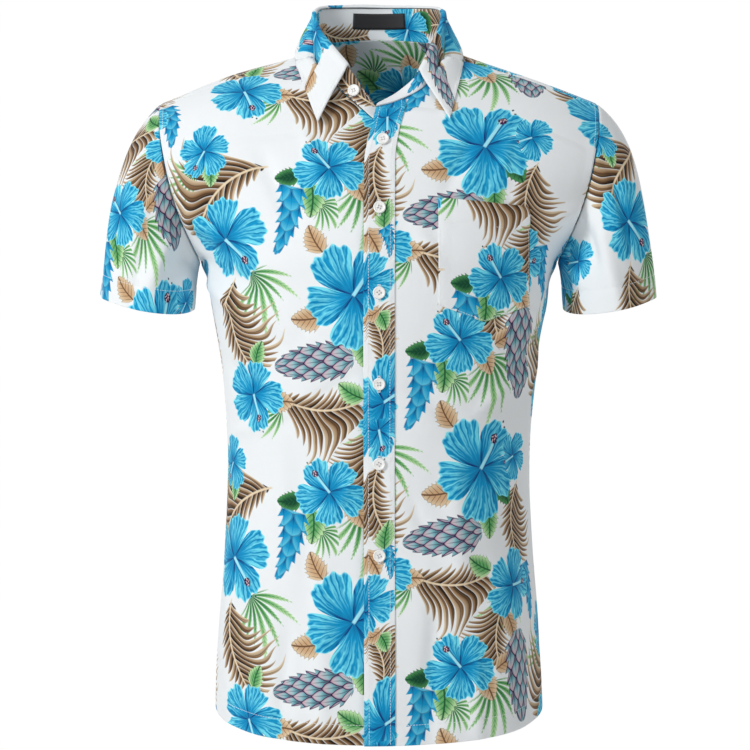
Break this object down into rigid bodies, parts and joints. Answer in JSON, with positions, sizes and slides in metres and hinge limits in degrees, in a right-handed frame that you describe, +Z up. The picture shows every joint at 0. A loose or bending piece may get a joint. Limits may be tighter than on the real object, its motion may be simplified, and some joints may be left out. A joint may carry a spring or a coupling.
{
  "type": "hawaiian shirt",
  "caption": "Short-sleeved button-front shirt with a turned-down collar and a chest pocket, printed with flowers and leaves, in its hollow worn shape with no wearer.",
  "frame": {"origin": "the middle of the line between the two high points of the shoulders, where the wearer carries the shirt", "axes": "+X to the wearer's left, +Y to the back, so the front faces -Y, and +Z up"},
  "size_m": [0.58, 0.2617, 0.7626],
  "materials": {
    "print_cloth": "smooth light cotton, white ground with a blue, green and brown flower print",
    "button": "soft gloss, white",
    "label": "black woven satin, bare"
  },
  "bodies": {
    "root": {"front_right": "print_cloth", "front_left": "print_cloth", "placket": "print_cloth", "back": "print_cloth", "yoke": "print_cloth", "collar_stand": "print_cloth", "collar_leaf": "print_cloth", "sleeve_right": "print_cloth", "sleeve_left": "print_cloth", "pocket": "print_cloth", "button_1": "button", "button_2": "button", "button_3": "button", "button_4": "button", "button_5": "button", "button_6": "button", "button_stand": "button", "neck_label": "label"}
  },
  "joints": []
}
